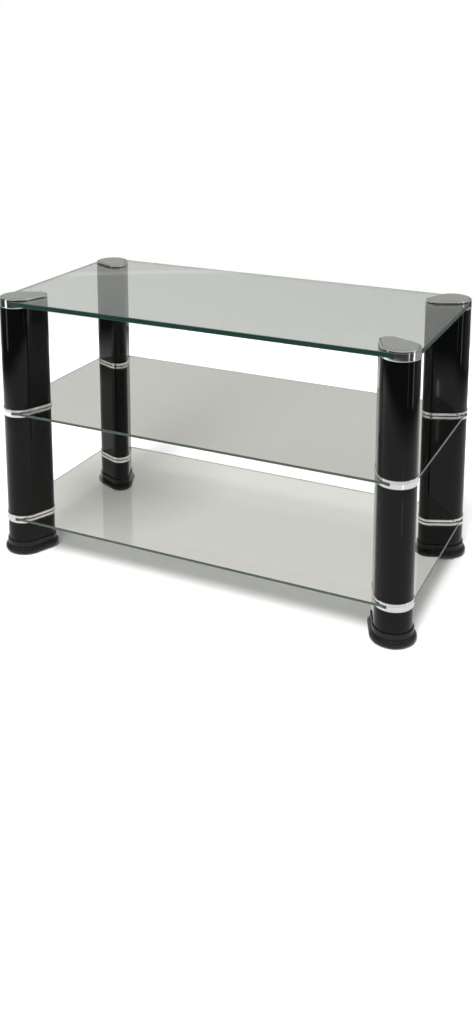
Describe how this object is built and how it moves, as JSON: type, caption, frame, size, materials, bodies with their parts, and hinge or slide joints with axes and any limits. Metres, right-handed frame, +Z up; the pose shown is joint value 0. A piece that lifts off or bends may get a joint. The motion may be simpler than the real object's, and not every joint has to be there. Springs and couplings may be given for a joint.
{
  "type": "glass television stand",
  "caption": "Open television stand: clear glass top and shelves with cut corners, held by slotted bright collars in glossy black corner posts on flared feet.",
  "frame": {"origin": "on the floor, under the middle of the stand", "axes": "+X along the width, towards the right seen from the front; +Y towards the back; +Z up"},
  "size_m": [0.7994, 0.4024, 0.493],
  "materials": {
    "clear_glass": "clear float glass, ground edges",
    "gloss_black": "gloss black",
    "chrome": "bright chrome plate",
    "satin_silver": "satin",
    "foot_black": "satin black",
    "rubber": "matt",
    "zinc_steel": "bright zinc plate"
  },
  "bodies": {
    "root": {"top_glass": "clear_glass", "middle_glass": "clear_glass", "lower_glass": "clear_glass", "front_left_foot_pad": "rubber", "front_left_foot": "foot_black", "front_left_lower_tube": "gloss_black", "front_left_lower_collar": "chrome", "front_left_lower_liner": "rubber", "front_left_middle_tube": "gloss_black", "front_left_middle_collar": "chrome", "front_left_middle_liner": "rubber", "front_left_upper_tube": "gloss_black", "front_left_top_collar": "chrome", "front_left_top_liner": "rubber", "front_left_cap_plate": "satin_silver", "front_left_tie_rod": "zinc_steel", "front_left_rod_nut": "zinc_steel", "front_right_foot_pad": "rubber", "front_right_foot": "foot_black", "front_right_lower_tube": "gloss_black", "front_right_lower_collar": "chrome", "front_right_lower_liner": "rubber", "front_right_middle_tube": "gloss_black", "front_right_middle_collar": "chrome", "front_right_middle_liner": "rubber", "front_right_upper_tube": "gloss_black", "front_right_top_collar": "chrome", "front_right_top_liner": "rubber", "front_right_cap_plate": "satin_silver", "front_right_tie_rod": "zinc_steel", "front_right_rod_nut": "zinc_steel", "back_left_foot_pad": "rubber", "back_left_foot": "foot_black", "back_left_lower_tube": "gloss_black", "back_left_lower_collar": "chrome", "back_left_lower_liner": "rubber", "back_left_middle_tube": "gloss_black", "back_left_middle_collar": "chrome", "back_left_middle_liner": "rubber", "back_left_upper_tube": "gloss_black", "back_left_top_collar": "chrome", "back_left_top_liner": "rubber", "back_left_cap_plate": "satin_silver", "back_left_tie_rod": "zinc_steel", "back_left_rod_nut": "zinc_steel", "back_right_foot_pad": "rubber", "back_right_foot": "foot_black", "back_right_lower_tube": "gloss_black", "back_right_lower_collar": "chrome", "back_right_lower_liner": "rubber", "back_right_middle_tube": "gloss_black", "back_right_middle_collar": "chrome", "back_right_middle_liner": "rubber", "back_right_upper_tube": "gloss_black", "back_right_top_collar": "chrome", "back_right_top_liner": "rubber", "back_right_cap_plate": "satin_silver", "back_right_tie_rod": "zinc_steel", "back_right_rod_nut": "zinc_steel"}
  },
  "joints": []
}
